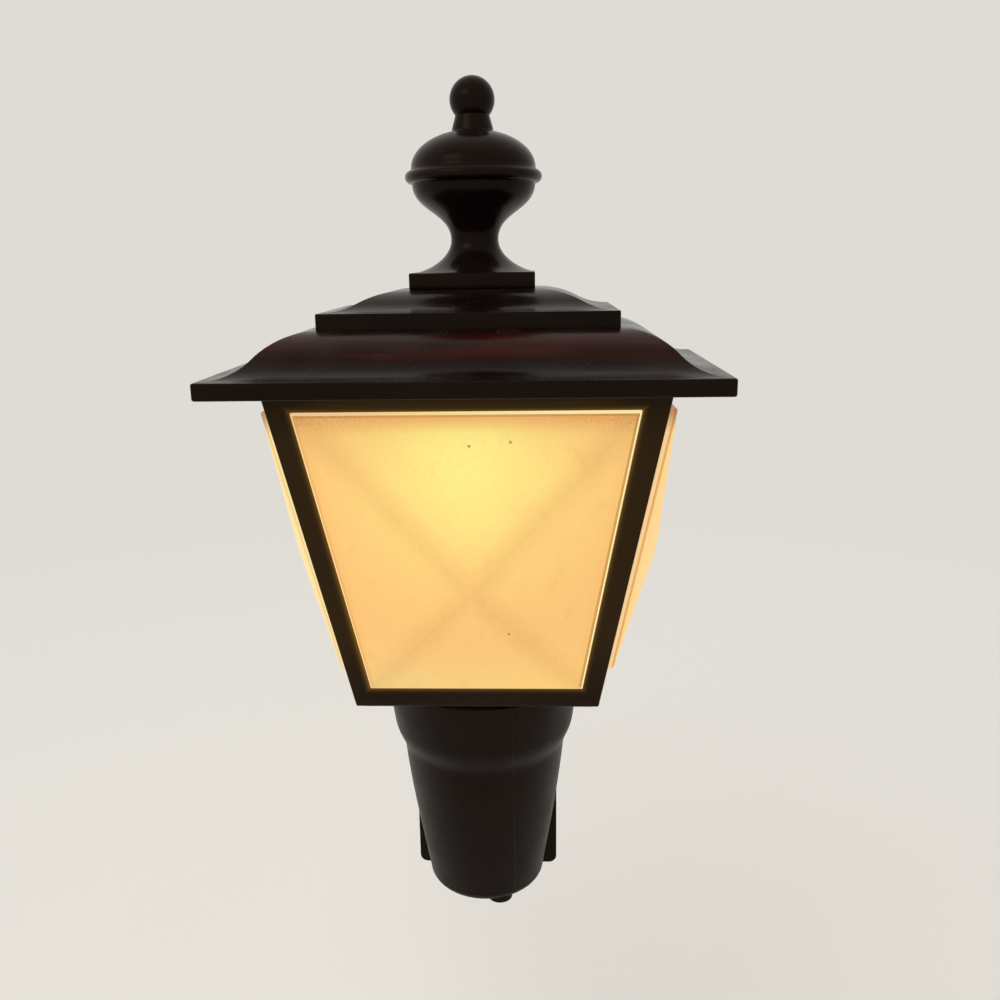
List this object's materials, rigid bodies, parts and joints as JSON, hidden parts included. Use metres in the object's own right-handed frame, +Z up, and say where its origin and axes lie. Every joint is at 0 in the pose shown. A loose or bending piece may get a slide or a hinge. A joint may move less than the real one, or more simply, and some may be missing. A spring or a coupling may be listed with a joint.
{
  "type": "plug-in night light",
  "caption": "Coach-lantern night light with a hipped roof, turned finial and raised amber panes, on a tapered neck with a flat-blade wall plug and a screw-in bulb.",
  "frame": {"origin": "centre of the plug's rear face, midway between the blades, in the plane of the outlet's cover", "axes": "+Z up along the lantern's height, +Y back into the outlet, +X to the lantern's right as seen from the front"},
  "size_m": [0.0586, 0.0564, 0.1166],
  "materials": {
    "housing": "gloss",
    "shade": "translucent satin",
    "brass": "drawn",
    "nickel": "nickel plated",
    "steel": "zinc plated",
    "phenolic": "pressed board",
    "bulb_glass": "clear",
    "black_glass": "gloss",
    "tungsten": "drawn"
  },
  "bodies": {
    "lantern": {"roof": "housing", "finial": "housing", "front_frame": "housing", "shade": "shade", "neck_housing": "housing", "plug_body": "housing", "cover_screw": "steel", "blade_left": "brass", "blade_right": "brass", "blade_rivets": "nickel", "neutral_strap": "brass", "live_strap": "brass", "contact_base": "phenolic", "socket_rivets": "nickel", "socket_shell": "brass", "centre_contact": "brass"},
    "bulb": {"bulb_glass": "bulb_glass", "bulb_base": "nickel", "base_insulator": "black_glass", "base_contact": "nickel", "stem_mount": "bulb_glass", "lead_wires": "nickel", "filament": "tungsten"}
  },
  "joints": [
    {"name": "bulb_screw", "type": "hinge", "parent": "lantern", "child": "bulb", "pos_m": [0, -0.0136, 0], "axis": [0, 0, 1], "range_deg": [0, 1080]}
  ]
}
